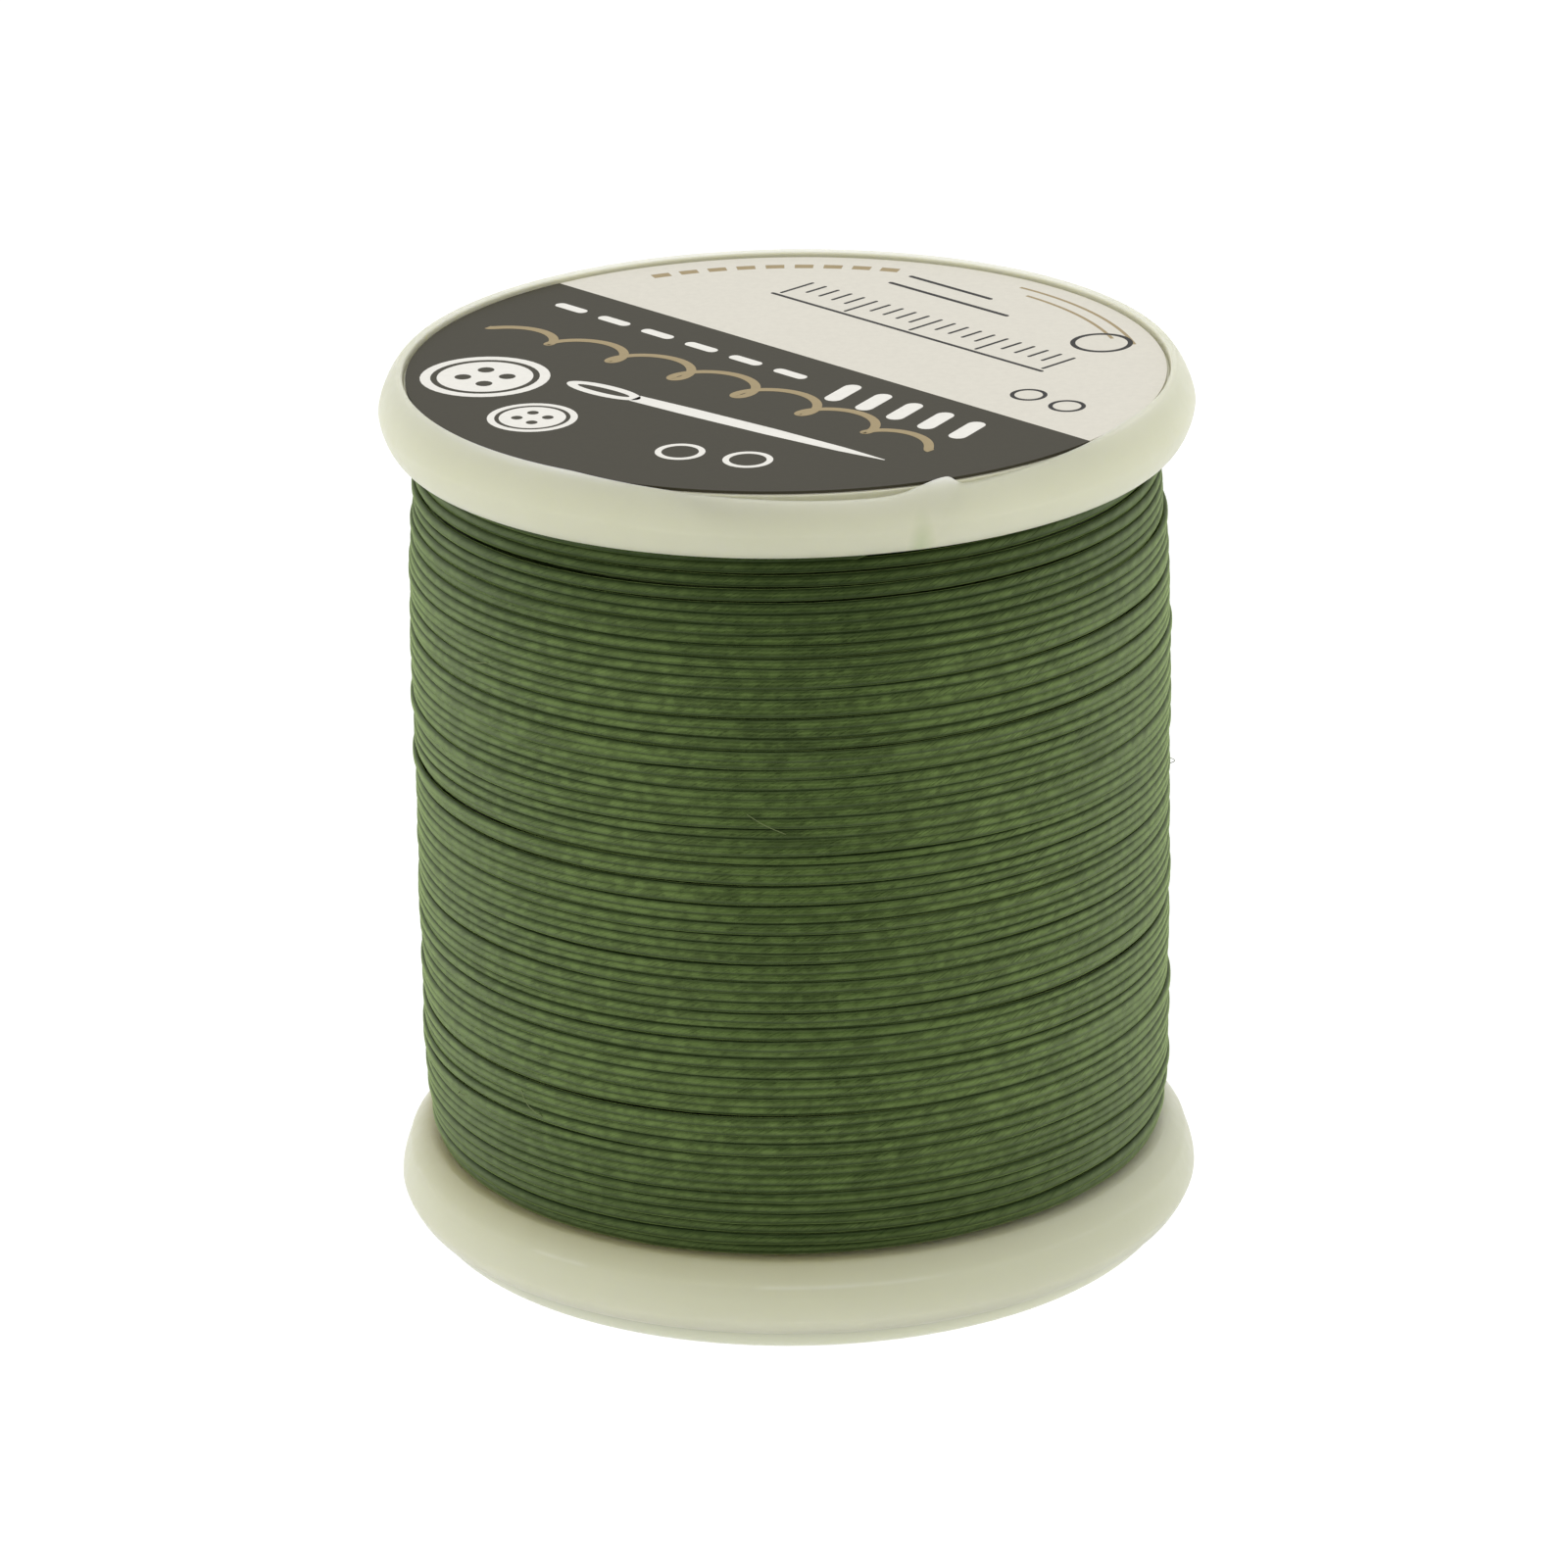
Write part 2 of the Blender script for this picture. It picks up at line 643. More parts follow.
PLASTIC = plastic_material("milky_plastic", 4.0, 0.0)
CAP_PLASTIC = plastic_material("milky_plastic_cap", 1.0, 1.0)
THREAD = thread_material("green_thread", *THREAD_TONES)
THREAD_BELOW = thread_material("green_thread_below", *BELOW_TONES)
FIBRE = new_material("green_fibre", FIBRE_TONE, 0.6)[0]
PAPER = print_material("label_paper", PAPER_TONE)
DARK_INK = print_material("dark_ink", DARK_TONE)
WHITE_INK = print_material("white_ink", WHITE_TONE)
GOLD_INK = print_material("gold_ink", GOLD_TONE)
BLACK_INK = print_material("black_ink", BLACK_TONE)


# ---- spool body -------------------------------------------------------------------------------

def edge_curve(start, widest, end, steps):
    """A flange's edge, as radii and depths: from its crest over its widest part to its inner face."""
    t = np.linspace(0, math.pi / 2, steps)
    out_r = widest[0] - (widest[0] - start[0]) * (1 - np.sin(t) ** EDGE_POWER)
    out_depth = start[1] + (widest[1] - start[1]) * (1 - np.cos(t) ** EDGE_POWER)
    in_r = end[0] + (widest[0] - end[0]) * np.cos(t) ** INNER_POWER
    in_depth = widest[1] + (end[1] - widest[1]) * np.sin(t) ** INNER_POWER
    return np.concatenate([out_r, in_r[1:]]), np.concatenate([out_depth, in_depth[1:]])


def lower_edge():
    """Radii and heights of the lower flange's edge, with its soft ridge towards the thread."""
    r, z = edge_curve((LOWER_RECESS_R + CREST_W, 0), (FLANGE_R, LOWER_PEAK),
                      (FLANGE_R - LOWER_INNER_ROUND, FLOOR_Z), steps=24)
    ridge = RIDGE_T * np.exp(-((z - RIDGE_DEPTH) / RIDGE_W) ** 2)
    return np.minimum(r + ridge, FLANGE_R), z


LOWER_EDGE_R, LOWER_EDGE_Z = lower_edge()


def lower_corner(z, rounding=0):
    """The lower edge's corner at height z."""
    return float(np.interp(z, LOWER_EDGE_Z, LOWER_EDGE_R)), float(z), rounding


def lower_corners(from_z, to_z):
    """The lower edge's points between two heights, without the ends."""
    return [(float(r), float(z), 0) for r, z in zip(LOWER_EDGE_R, LOWER_EDGE_Z) if from_z < z < to_z]


def crest_depth(a):
    """How far the upper rim's crest lies below the spool's end: a shallow dip with a lug in it."""
    x = (a - DIP_MIDDLE) / DIP_HALF
    dip = DIP_DEPTH * max(0.0, 1 - x * x) ** DIP_POWER
    half = LUG_RISE if a < LUG_AT else LUG_FALL
    return dip - LUG_H * math.exp(-abs((a - LUG_AT) / half) ** 2)


def slit_width(a):
    """Width of the crescent slit behind the lip; the lip's end leans in and nearly closes it."""
    start = MOUTH_TOP - SLIT_ARC
    widest = MOUTH_TOP - 0.35 * SLIT_ARC
    end, fade = LUG_AT + 22, 36
    rise = smoothstep((a - start) / (widest - start))
    fall = smoothstep((end - a) / fade)
    return SLIT_MIN + SLIT_W * float(rise * fall)


def slit_depth(a):
    """Depth of the slit's floor below the spool's end; past the mouth it is nearly the recess's own."""
    start = MOUTH_TOP - SLIT_ARC
    share = float(smoothstep((a - start) / SLIT_OPENS)) if a < MOUTH_TOP else 0.0
    depth = RECESS_DEPTH + (SLIT_DEPTH - RECESS_DEPTH) * share
    return max(depth, RECESS_DEPTH + SLIT_MIN, crest_depth(a) + LIP_MIN)


def seam_width(a):
    """Gap between the lower cap's edge and the body; it closes towards the right."""
    closed = float(smoothstep((a - SEAM_FROM) / SEAM_OVER)) if a < SEAM_REOPENS else 0.0
    return SEAM_WIDE + (SEAM_TIGHT - SEAM_WIDE) * closed


def upper_corners(a, lip_r):
    """The upper edge's points from its inner face up to the lip, with the mouth's groove."""
    crest = crest_depth(a)
    lip_end = lip_r + LIP_ROUND
    r, depth = edge_curve((lip_end, crest), (UPPER_R, UPPER_PEAK + 0.5 * max(0, crest)),
                          (UPPER_R - UPPER_INNER_ROUND, SPOOL_H - ROOF_Z), steps=12)
    groove = MOUTH_GROOVE * math.exp(-((a - MOUTH_TOP) / MOUTH_SPREAD) ** 2)
    towards_foot = 1 + 2 * np.clip((depth - FOOT_DEPTH) / FOOT_FADE, 0, 1)
    r = r - groove * towards_foot * np.clip((r - lip_end) / 0.25, 0, 1)
    return [(x, SPOOL_H - y, 0) for x, y in zip(r[:-1], depth[:-1])][::-1]


def body_outline(a):
    """Section of barrel and flanges, from the barrel's inside round the lower flange and up."""
    inner_r = BARREL_R - BARREL_WALL
    seam_z = CAP_EDGE_T + seam_width(a)
    lip_r = UPPER_RECESS_R + slit_width(a)
    slit_z = SPOOL_H - slit_depth(a)
    recess_z = SPOOL_H - RECESS_DEPTH
    return outline([
        (inner_r, FLOOR_Z - WEB_T, 0.15),
        (RIM_R, FLOOR_Z - WEB_T, 0.1),
        (RIM_R, seam_z, 0.05),
        lower_corner(seam_z, 0.1),
        *lower_corners(CAP_EDGE_T + 2 * SEAM_WIDE, FLOOR_Z),
        lower_corner(FLOOR_Z),
        (BARREL_R, FLOOR_Z, 0.1),
        (BARREL_R, ROOF_Z, 0.1),
        (UPPER_R - UPPER_INNER_ROUND, ROOF_Z, 0.06),
        *upper_corners(a, lip_r),
        (lip_r, SPOOL_H - crest_depth(a), LIP_ROUND),
        (lip_r, slit_z, 0.02),
        (UPPER_RECESS_R, slit_z, 0.02),
        (UPPER_RECESS_R, recess_z, 0.02),
        (RIM_R, recess_z, 0.05),
        (RIM_R, ROOF_Z + WEB_T, 0.1),
        (inner_r, ROOF_Z + WEB_T, 0.15),
    ])


def mouth_lean(column, z):
    """Turns the columns round the mouth along its lean, so that the mouth runs between two of them."""
    near = np.cos(np.clip((column - MOUTH_TOP) / MOUTH_REACH, -1, 1) * math.pi / 2) ** 2
    share = np.clip((SPOOL_H - z) / (SPOOL_H - ROOF_Z), 0, 1)
    return column - (MOUTH_TOP - MOUTH_FOOT) * near * share


def tube_section(low_r, high_r, low_z, high_z, rounding):
    """Section of a plain tube."""
    return outline([(low_r, low_z, rounding), (high_r, low_z, rounding),
                    (high_r, high_z, rounding), (low_r, high_z, rounding)])


def rib(angle):
    """A rib between the hub tube and the barrel, below the upper cap's collar."""
    r0, r1 = HUB_R - RIB_ROOT, BARREL_R - BARREL_WALL + RIB_ROOT
    z0, z1 = FLOOR_Z - WEB_T, min(ROOF_Z + WEB_T, SPOOL_H - CAP_Z1 - CAP_PLAY)
    a = math.radians(angle)
    out = np.array((math.cos(a), math.sin(a), 0))
    side = np.array((-math.sin(a), math.cos(a), 0)) * RIB_T / 2
    foot = [out * r + side * s for r, s in ((r0, -1), (r1, -1), (r1, 1), (r0, 1))]
    points = [p + np.array((0, 0, z)) for z in (z0, z1) for p in foot]
    return points, [(3, 2, 1, 0), (4, 5, 6, 7), (0, 1, 5, 4), (1, 2, 6, 5), (2, 3, 7, 6), (3, 0, 4, 7)]


def make_body():
    """Barrel and flanges in one turned shell, with the hub tube and the ribs."""
    shell = turned(body_outline, columns([(MOUTH_TOP, 12, 0.5), (MOUTH_TOP, 1.5, 0.1)]), mouth_lean)
    z0, z1 = RECESS_DEPTH + CAP_PLATE_T, SPOOL_H - RECESS_DEPTH - CAP_PLATE_T
    hub = turned(lambda a: tube_section(BORE_R, HUB_R, z0, z1, 0.12), columns())
    ribs = [rib(i * 360 / RIB_COUNT) for i in range(RIB_COUNT)]
    mesh_piece("spool_body_moulding", *joined(shell, hub, *ribs), PLASTIC, ["spool_body"])


# ---- end caps ---------------------------------------------------------------------------------

def cap_corner(r, z, _rounding=0):
    """A corner of the lower cap's edge, beside the flange's curve carried on downwards."""
    return r + CAP_FOOT - (CAP_FOOT + CAP_INSET) * z / CAP_EDGE_T, z, 0


def bottom_cap_outline(_angle):
    """Plate, collar and the visible edge up to the seam."""
    plate_top = RECESS_DEPTH + CAP_PLATE_T
    return outline([
        (CAP_HOLE_R, RECESS_DEPTH, 0.08),
        (LOWER_RECESS_R, RECESS_DEPTH, 0.04),
        (LOWER_RECESS_R, 0, 0.03),
        cap_corner(*lower_corner(0)),
        *[cap_corner(*corner) for corner in lower_corners(0.01, CAP_EDGE_T - 0.02)],
        cap_corner(*lower_corner(CAP_EDGE_T)),
        (CAP_R, CAP_EDGE_T, 0.05),
        (CAP_R, plate_top, 0.06),
        (COLLAR_R1, plate_top, 0.08),
        (COLLAR_R1, CAP_Z1, 0.08),
        (COLLAR_R0, CAP_Z1, 0.08),
        (COLLAR_R0, plate_top, 0.05),
        (CAP_HOLE_R, plate_top, 0.05),
    ])


def top_cap_outline(_angle):
    """Plate and collar of the disc below the label."""
    plate_z1 = SPOOL_H - RECESS_DEPTH
    plate_z0 = plate_z1 - CAP_PLATE_T
    collar_z = SPOOL_H - CAP_Z1
    return outline([
        (CAP_HOLE_R, plate_z1, 0.05),
        (CAP_HOLE_R, plate_z0, 0.05),
        (COLLAR_R0, plate_z0, 0.05),
        (COLLAR_R0, collar_z, 0.08),
        (COLLAR_R1, collar_z, 0.08),
        (COLLAR_R1, plate_z0, 0.08),
        (CAP_R, plate_z0, 0.06),
        (CAP_R, plate_z1, 0.04),
    ])


def make_caps():
    """The two snap-in ends."""
    mesh_piece("bottom_cap_moulding", *turned(bottom_cap_outline, columns()), CAP_PLASTIC, ["bottom_cap"])
    mesh_piece("top_cap_moulding", *turned(top_cap_outline, columns()), CAP_PLASTIC, ["top_cap"])


# ---- thread -----------------------------------------------------------------------------------

def package_r(z):
    """Radius of the full package at height z."""
    lower = LOWER_DROP * np.clip(1 - (z - FLOOR_Z) / LOWER_TAPER, 0, 1) ** 2
    upper = UPPER_DROP * np.clip(1 - (ROOF_Z - z) / UPPER_TAPER, 0, 1) ** 2
    return PACKAGE_R - lower - upper


def tube(angle, radius, z, width, thickness, sides):
    """A tube along a path round the spool, with closed ends: its points, faces and running length."""
    middle = to_xyz(angle, radius, z)
    heading = np.gradient(middle, axis=0)
    heading /= np.linalg.norm(heading, axis=1)[:, None]
    out = middle * (1, 1, 0)
    out -= heading * np.einsum("ij,ij->i", out, heading)[:, None]
    out /= np.linalg.norm(out, axis=1)[:, None]
    across = np.cross(heading, out)
    turn = 2 * math.pi * (np.arange(sides) + 0.5) / sides
    points = (middle[:, None, :]
              + out[:, None, :] * np.cos(turn)[None, :, None] * (thickness / 2)[:, None, None]
              + across[:, None, :] * np.sin(turn)[None, :, None] * (width / 2)[:, None, None])
    rings = len(middle)
    faces = ring_faces(rings, sides, closed=False)
    faces.append(tuple(range(sides)))
    faces.append(tuple((rings - 1) * sides + k for k in range(sides))[::-1])
    steps = np.linalg.norm(np.diff(middle, axis=0), axis=1)
    length = np.concatenate([[0], np.cumsum(steps)])
    return points.reshape(-1, 3), faces, length


def thread_piece(name, path, material, replaces=()):
    """A tube of thread whose UV map holds its length in millimetres and the turn round it."""
    points, faces, length = tube(*path)
    sides = path[-1]
    piece = mesh_piece(name, points, faces, material, replaces, slot="thread", sharp=180)
    corner = np.empty(len(piece.data.loops), dtype=np.int32)
    piece.data.loops.foreach_get("vertex_index", corner)
    place, side = corner // sides, corner % sides
    face = np.repeat(np.arange(len(faces)), [len(f) for f in faces])
    closes_turn = (face % sides == sides - 1) | (face >= len(faces) - 2)
    turn = np.where(closes_turn & (side == 0), 1.0, side / sides)
    layer = piece.data.uv_layers.new(name="thread")
    layer.data.foreach_set("uv", np.stack([length[place], turn], axis=1).ravel())


def winding_path():
    """The outer layer from its start at the lower flange to the mouth, with the hand's unevenness."""
    s = np.arange(round(TURNS * RINGS_PER_TURN) + 1) / RINGS_PER_TURN
    low, high = FLOOR_Z + THREAD_W / 2, ROOF_Z - THREAD_W / 2
    climb = s + sum(size * smoothstep((s - at) / GAP_OPENS) for at, size in GAPS) / PITCH
    away_from_ends = np.clip(np.minimum(s, TURNS - s), 0, 1)
    z = low + (high - low) * climb / climb[-1] + uneven(s, WANDER) * away_from_ends
    radius = package_r(z) - THREAD_T / 2 + np.clip(uneven(s, LIFT), -0.06, 0.05)
    rise = smoothstep(1 - (s[-1] - s) / END_TURNS)
    size = (1 + uneven(s, SWELL)) * (1 - END_THINNER * rise)
    angle = MOUTH_FOOT - 360 * (TURNS - s)
    return (angle, radius + END_OUT * rise, z + END_RISE * rise ** 2,
            THREAD_W * size, THREAD_T * size, TURN_SIDES)


def below_path():
    """The layer below, which climbs the other way and shows in the gaps."""
    turns, rings_per_turn, sides = 62, 90, 6
    width, thickness = 0.29, 0.26
    s = np.arange(turns * rings_per_turn + 1) / rings_per_turn
    low, high = FLOOR_Z + 0.14, ROOF_Z - 0.14
    z = low + (high - low) * s / turns + 0.02 * drift(s, 0.3, 13)
    radius = package_r(z) - BELOW_DEPTH + 0.01 * drift(s, 0.4, 14)
    return -360 * s, radius, z, np.full(len(s), width), np.full(len(s), thickness), sides


def core_outline(_angle):
    """The layers further down, as one turned solid."""
    z0, z1 = FLOOR_Z + WRAP_GAP, ROOF_Z - WRAP_GAP
    z = np.linspace(z0, z1, 24)
    side = [(float(r), float(v), 0) for r, v in zip(package_r(z) - CORE_DEPTH, z)]
    return outline([(BARREL_R + WRAP_GAP, z1, 0), (BARREL_R + WRAP_GAP, z0, 0), *side])


def stray_fibre(angle, z, length, slope, lift):
    """A thin fibre that stands off the package: a low arc over the turns."""
    t = np.linspace(0, 1, FIBRE_POINTS)
    heights = z + slope * length * t
    radius = package_r(heights) - 0.02 + lift * np.sin(math.pi * t)
    width = np.full(FIBRE_POINTS, FIBRE_D)
    points, faces, _ = tube(angle + np.degrees(length * t / PACKAGE_R), radius, heights, width, width, 5)
    return points, faces


def make_thread():
    """Stray fibres, the outer layer, the layer below it and the core."""
    rng = np.random.default_rng(21)
    fibres = []
    for angle, z in FIBRE_PLACES:
        length, slope, lift = rng.uniform(0.5, 1.3), rng.uniform(-0.9, 0.9), rng.uniform(0.05, 0.16)
        fibres.append(stray_fibre(angle, z, length, slope, lift))
    mesh_piece("thread_fibres", *joined(*fibres), FIBRE, slot="thread", sharp=180)
    thread_piece("thread_winding_outer", winding_path(), THREAD, ["thread_winding", "thread_tail"])
    thread_piece("thread_winding_below", below_path(), THREAD_BELOW)
    core = turned(core_outline, columns())
    mesh_piece("thread_core", *core, THREAD_BELOW, ["thread_layers"], slot="thread")


# ---- flat printed shapes ----------------------------------------------------------------------

def on_label(points):
    """From places on the print to x and y: along the rows, and down from the dark part's border."""
    points = np.asarray(points, float)
    return points[:, :1] * CHORD_ALONG + (CHORD_OFFSET - points[:, 1:]) * CHORD_NORMAL


def ellipse(middle, half_u, half_s, turn=0.0, count=48):
    """Points of an ellipse."""
    t = 2 * math.pi * np.arange(count) / count
    flat = np.stack([half_u * np.cos(t), half_s * np.sin(t)], axis=1)
    return flat @ turned_by(turn) + np.array(middle)


def prism(loop, z0, z1):
    """A flat plate from a convex outline in x and y."""
    n = len(loop)
    points = [(*p, z) for z in (z0, z1) for p in loop]
    sides = [(k, (k + 1) % n, n + (k + 1) % n, n + k) for k in range(n)]
    return points, [tuple(range(n))[::-1], tuple(range(n, 2 * n)), *sides]


def band(outer, inner, z0, z1):
    """A flat ring between two outlines of as many points."""
    points = [p for o, i in zip(outer, inner) for p in ((*o, z0), (*o, z1), (*i, z1), (*i, z0))]
    return points, ring_faces(len(outer), 4)


def stroke(path, width, z0, z1):
    """A flat line along a path in x and y, which may cross itself: it rises a little on its way."""
    path = np.asarray(path, float)
    heading = np.gradient(path, axis=0)
    heading /= np.linalg.norm(heading, axis=1)[:, None]
    side = np.stack([-heading[:, 1], heading[:, 0]], axis=1) * width / 2
    points = []
    for p, q, top in zip(path, side, np.linspace(z1 - 0.001, z1, len(path))):
        points += [(*(p + q), z0), (*(p + q), top), (*(p - q), top), (*(p - q), z0)]
    end = len(points) - 1
    faces = ring_faces(len(path), 4, closed=False)
    return points, [*faces, (0, 1, 2, 3), (end, end - 1, end - 2, end - 3)]


def dash(middle, length, width, z1=LABEL_Z1, turn=0.0):
    """A short printed line with round ends."""
    half = length / 2 - width / 2
    t = np.radians(np.arange(-90, 91, 22.5))
    right = np.stack([half + width / 2 * np.cos(t), width / 2 * np.sin(t)], axis=1)
    loop = np.concatenate([right, -right])
    return prism(on_label(loop @ turned_by(turn) + np.array(middle)), PAPER_Z, z1)


def circle(middle, radius, line, z1=LABEL_Z1):
    """A printed circle."""
    outer, inner = (on_label(ellipse(middle, r, r, count=40)) for r in (radius, radius - line))
    return band(outer, inner, PAPER_Z, z1)


def spot(middle, radius, z1, count):
    """A printed round spot."""
    return prism(on_label(ellipse(middle, radius, radius, count=count)), PAPER_Z, z1)


def looped_line(start, end, loops, height, count=400):
    """A cursive line from start to end with small loops."""
    t = np.linspace(0, 1, count)
    phase = 2 * math.pi * loops * t
    swell = np.sin(math.pi * (0.02 + 0.96 * t)) ** 0.5
    pitch = (end[0] - start[0]) / loops
    u = start[0] + (end[0] - start[0]) * t - 0.27 * pitch * swell * np.sin(phase)
    v = start[1] + (end[1] - start[1]) * t + height * swell * (np.cos(phase) - 1) / 2
    return np.stack([u, v], axis=1)


def edge_line(radius, from_angle, to_angle, width):
    """A printed line along the label's edge, by direction from -Y."""
    path = to_xyz(np.linspace(from_angle, to_angle, 40), radius, 0)[:, :2]
    return stroke(path, width, PAPER_Z, DARK_Z)


def row(start, step, count):
    """Places in a row on the print."""
    return [(start[0] + step[0] * i, start[1] + step[1] * i) for i in range(count)]


# ---- label ------------------------------------------------------------------------------------

def dark_part():
    """The dark part: what lies on one side of the chord, with the paper's edge."""
    half = math.degrees(math.acos(CHORD_OFFSET / LABEL_R))
    middle = math.degrees(math.atan2(CHORD_NORMAL[1], CHORD_NORMAL[0]))
    a = np.radians(np.linspace(middle + half, middle + 360 - half, 240))
    loop = np.stack([LABEL_R * np.cos(a), LABEL_R * np.sin(a)], axis=1)
    return prism(loop, LABEL_Z0 + 0.02, DARK_Z)


def needle(eye_at, turn, length):
    """A sewing needle: an eye and a long shank that tapers to its point."""
    along, across = turned_by(turn)
    eye = band(on_label(ellipse(eye_at, 1.25, 0.42, turn)), on_label(ellipse(eye_at, 0.9, 0.17, turn)),
               PAPER_Z, LABEL_Z1)
    widths = ((1.1, 0.24), (3.0, 0.27), (0.6 * length, 0.25), (0.85 * length, 0.16), (length, 0.02))
    upper = [np.array(eye_at) + along * x + across * w for x, w in widths]
    lower = [np.array(eye_at) + along * x - across * w for x, w in reversed(widths)]
    return [eye, prism(on_label(upper + lower), PAPER_Z, LABEL_Z1)]


def button(middle, radius):
    """A round button, its rim drawn as a circle; its four holes are a second list."""
    step = 0.24 * radius
    holes = [(middle[0] + x * step, middle[1] + y * step) for x in (-1, 1) for y in (-1, 1)]
    white = [circle(middle, radius, 0.16 * radius), spot(middle, 0.74 * radius, BUTTON_Z, 48)]
    dark = [spot(hole, 0.13 * radius, LABEL_Z1, 16) for hole in holes]
    return white, dark


def white_print():
    """Needle, stitches, blocks and beads on the dark part."""
    stitches = [dash(p, 1.15, 0.34) for p in row((-8.2, 1.35), (1.72, 0), 6)]
    blocks = [dash(p, 1.5, 0.5, turn=74) for p in row((2.6, 1.55), (1.15, 0), 5)]
    beads = [circle(p, 0.66, 0.17) for p in row((3.0, 7.9), (1.75, -0.75), 2)]
    return [*stitches, *blocks, *beads, *needle((-2.2, 5.75), -6.0, 9.6)]


def gold_print():
    """A looped thread on the dark part, and lines along the light part's edge."""
    loops = stroke(on_label(looped_line((-8.6, 4.1), (7.7, 3.4), 7, 1.35)), 0.26, PAPER_Z, LABEL_Z1)
    long_lines = [edge_line(9.55, 100, 137, 0.1), edge_line(9.1, 104, 133, 0.1)]
    dashes = [edge_line(9.3, a, a + 3.2, 0.32) for a in range(160, 205, 5)]
    return [loops, *long_lines, *dashes]


def black_print():
    """A plain scale without numbers, and a few lines and circles, on the light part."""
    ticks = []
    for i, (u, v) in enumerate(row((-5.0, -4.2), (0.5, 0), 21)):
        if i % 5 == 0:
            ticks.append(dash((u, v), 1.3, 0.1, DARK_Z, turn=90))
        else:
            ticks.append(dash((u, v - 0.25), 0.8, 0.1, DARK_Z, turn=90))
    lines = [dash((0, -3.4), 10.4, 0.12, DARK_Z), dash((-1.2, -6.3), 4.6, 0.14, DARK_Z),
             dash((-1.9, -7.1), 3.2, 0.14, DARK_Z)]
    circles = [circle((4.6, -6.3), 0.85, 0.14, DARK_Z), circle((6.3, -1.7), 0.5, 0.12, DARK_Z),
               circle((7.7, -1.7), 0.5, 0.12, DARK_Z)]
    return [*ticks, *lines, *circles]


def make_label():
    """Paper disc with a generic sewing print."""
    disc = to_xyz(np.arange(0, 360, COLUMN_STEP), LABEL_R - PRINT_WRAP, 0)[:, :2]
    mesh_piece("label_disc", *prism(disc, LABEL_Z0, PAPER_Z), PAPER, ["top_label"], slot="label_paper")
    big, big_holes = button((-5.4, 7.1), 1.75)
    small, small_holes = button((-1.9, 8.6), 1.2)
    layers = (
        ("label_print_dark", [dark_part()], DARK_INK),
        ("label_print_white", [*big, *small, *white_print()], WHITE_INK),
        ("label_print_gold", gold_print(), GOLD_INK),
        ("label_print_holes", [*big_holes, *small_holes], DARK_INK),
        ("label_print_black", black_print(), BLACK_INK),
    )
    for name, parts, material in layers:
        mesh_piece(name, *joined(*parts), material, slot="label_paper", sharp=20)


# ---- camera, floor and light ------------------------------------------------------------------

def place_object(name, data):
    """A new object in the scene."""
    placed = bpy.data.objects.new(name, data)
    bpy.context.scene.collection.objects.link(placed)
    return placed


def make_camera():
    """Looks down on the spool's front, with a slight roll."""
    e, roll = math.radians(CAMERA_ELEVATION), math.radians(CAMERA_ROLL)
    back = Vector((0, -math.cos(e), math.sin(e)))
    right, up = Vector((1, 0, 0)), Vector((0, math.sin(e), math.cos(e)))
    x = right * math.cos(roll) + up * math.sin(roll)
    y = up * math.cos(roll) - right * math.sin(roll)
    place = (Vector(CAMERA_TARGET) + back * CAMERA_DISTANCE) * MM
    data = bpy.data.cameras.new("camera")
    data.sensor_width = CAMERA_SENSOR
    data.lens = CAMERA_LENS
    data.clip_start, data.clip_end = 0.005, 20
    camera = place_object("camera", data)
    camera.matrix_world = Matrix.Translation(place) @ Matrix((x, y, back)).transposed().to_4x4()
    bpy.context.scene.camera = camera


def stage_sheet(name, x_range, y_range, z, dark_share):
    """A flat sheet that glows white, or dark where dark_share of its x and y is 1."""
    (x0, x1), (y0, y1) = x_range, y_range
    corners = np.array([(x0, y0, z), (x1, y0, z), (x1, y1, z), (x0, y1, z)]) * MM
    mesh = bpy.data.meshes.new(name)
    mesh.from_pydata(corners.tolist(), [], [(0, 1, 2, 3)])
    material, tree, shader = new_material(
        name, STAGE_TONE, 0.9, Specular_IOR_Level=0.0, Emission_Color=(1, 1, 1, 1))
    x, y, _ = parts_of(tree, add(tree, "TexCoord").outputs["Object"])
    glow = map_range(tree, dark_share(tree, x, y), 0, 1, WHITE_GLOW, DARK_GLOW)
    tree.links.new(glow, shader.inputs["Emission Strength"])
    mesh.materials.append(material)
    sheet = place_object(name, mesh)
    return sheet


def under_spool(tree, x, y):
    """1 under the spool, where no light comes from."""
    return maths(tree, "LESS_THAN", length_of(tree, vector(tree, x, y)), FLOOR_SHADE_R * MM)


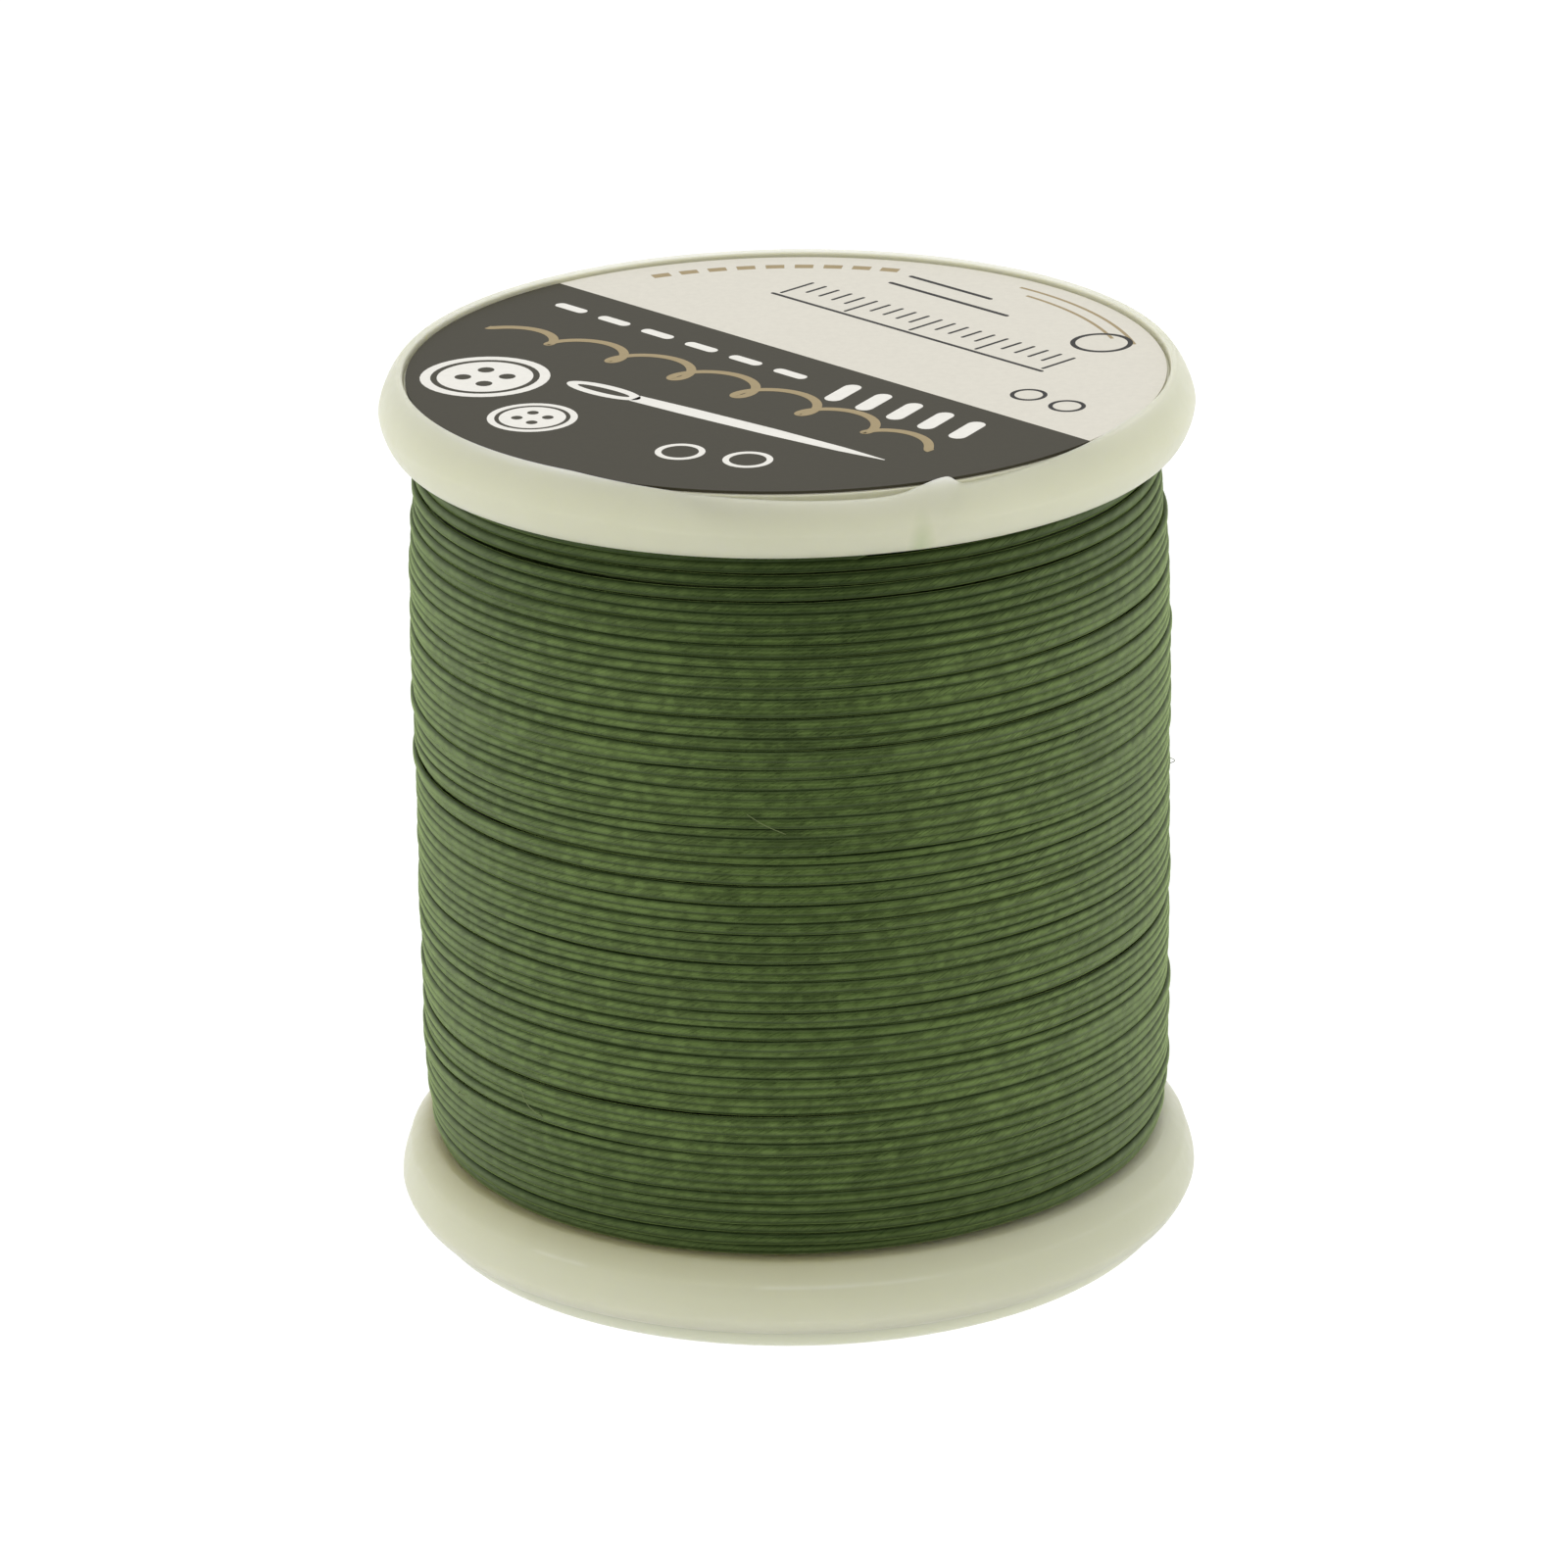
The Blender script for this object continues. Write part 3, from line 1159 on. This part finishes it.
def on_card(tree, x, y):
    """1 in the middle of the dark card, fading to 0 at its edges."""
    off_middle = maths(tree, "ABSOLUTE", minus(tree, x, CARD_MIDDLE_X * MM))
    near = map_range(tree, y, CARD_WHITE_Y * MM, CARD_DARK_Y * MM, 0, 1)
    beside = map_range(tree, off_middle, CARD_DARK_X * MM, CARD_WHITE_X * MM, 1, 0)
    far = map_range(tree, y, CARD_FAR_DARK_Y * MM, CARD_FAR_WHITE_Y * MM, 1, 0)
    return times(tree, near, beside, far)


def make_floor():
    """Plain white floor, and a dark card before the spool that shows only in what it reflects."""
    span = (-FLOOR_HALF, FLOOR_HALF)
    stage_sheet("floor", span, span, 0, under_spool)
    card = stage_sheet("dark_card", (CARD_X0, CARD_X1), (CARD_Y0, CARD_Y1), CARD_LIFT, on_card)
    card.visible_camera = False


def make_world():
    """White surroundings, with a dark side that shows only in what it reflects."""
    world = bpy.data.worlds.new("studio")
    bpy.context.scene.world = world
    world.use_nodes = True
    tree = world.node_tree
    background = tree.nodes["Background"]
    direction = add(tree, "TexCoord").outputs["Generated"]
    dark_side = tuple(Vector(DARK_SIDE).normalized())
    towards = add(tree, "VectorMath", {0: direction, 1: dark_side}, operation="DOT_PRODUCT").outputs["Value"]
    colour = mix_colours(tree, map_range(tree, towards, 0.74, 0.92, 0, 1), WORLD_WHITE, WORLD_DARK)
    seen = add(tree, "LightPath").outputs["Is Camera Ray"]
    tree.links.new(mix_colours(tree, seen, colour, WORLD_SEEN), background.inputs["Color"])
    background.inputs["Strength"].default_value = WORLD_STRENGTH


def make_lamp():
    """A large soft lamp over the spool."""
    data = bpy.data.lights.new("top_box", "AREA")
    data.shape = "SQUARE"
    data.size = LAMP_SIZE * MM
    data.energy = LAMP_WATTS
    place, target = Vector(LAMP_PLACE) * MM, Vector(LAMP_TARGET) * MM
    lamp = place_object("top_box", data)
    lamp.location = place
    lamp.rotation_euler = (target - place).to_track_quat("-Z", "Y").to_euler()


# ---- the scene --------------------------------------------------------------------------------

make_camera()
make_floor()
make_world()
make_lamp()
make_body()
make_caps()
make_thread()
make_label()

bpy.context.scene.view_settings.view_transform = "Standard"
